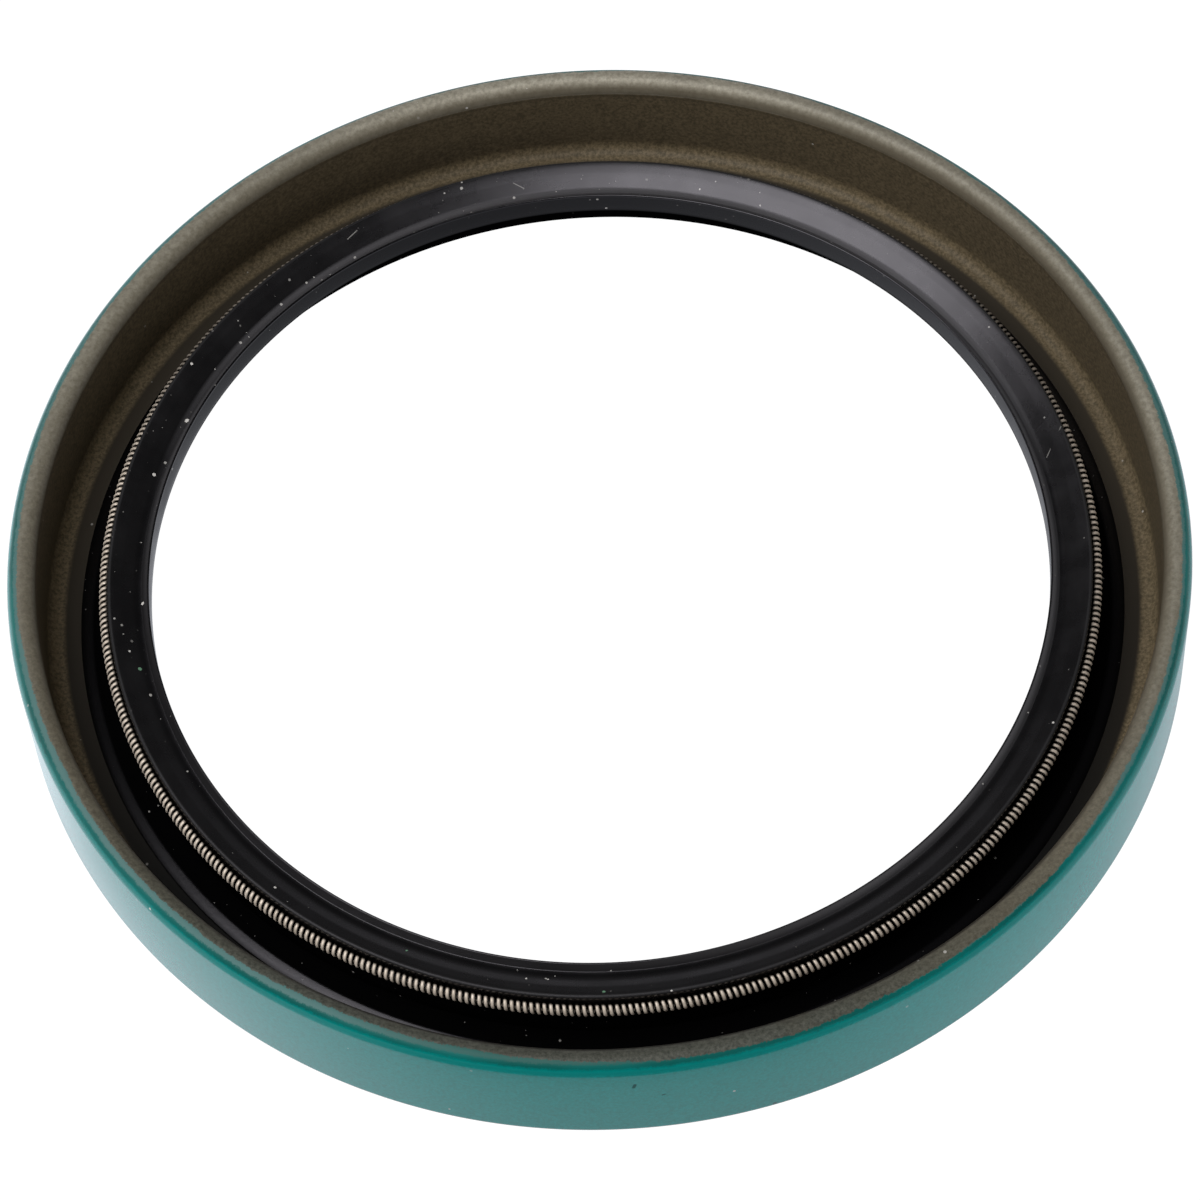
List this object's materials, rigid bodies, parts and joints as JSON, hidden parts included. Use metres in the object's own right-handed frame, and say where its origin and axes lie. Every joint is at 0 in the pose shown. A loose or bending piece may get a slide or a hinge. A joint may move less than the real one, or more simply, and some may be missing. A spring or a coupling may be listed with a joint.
{
  "type": "oil seal",
  "caption": "Ring-shaped rotary shaft oil seal: a coated pressed steel case, a bonded rubber lip and a coiled garter spring that holds the lip against the shaft.",
  "frame": {"origin": "centre of the closed face, where the shaft axis meets the plane that the seal lies on", "axes": "+Z along the shaft axis, from the closed face towards the open side with the spring; X and Y across the seal"},
  "size_m": [0.073, 0.073, 0.0085],
  "materials": {
    "case_coating": "glossy",
    "lip_rubber": "glossy",
    "spring_wire": "satin"
  },
  "bodies": {
    "root": {"outer_case": "case_coating", "seal_lip": "lip_rubber", "garter_spring": "spring_wire"}
  },
  "joints": []
}
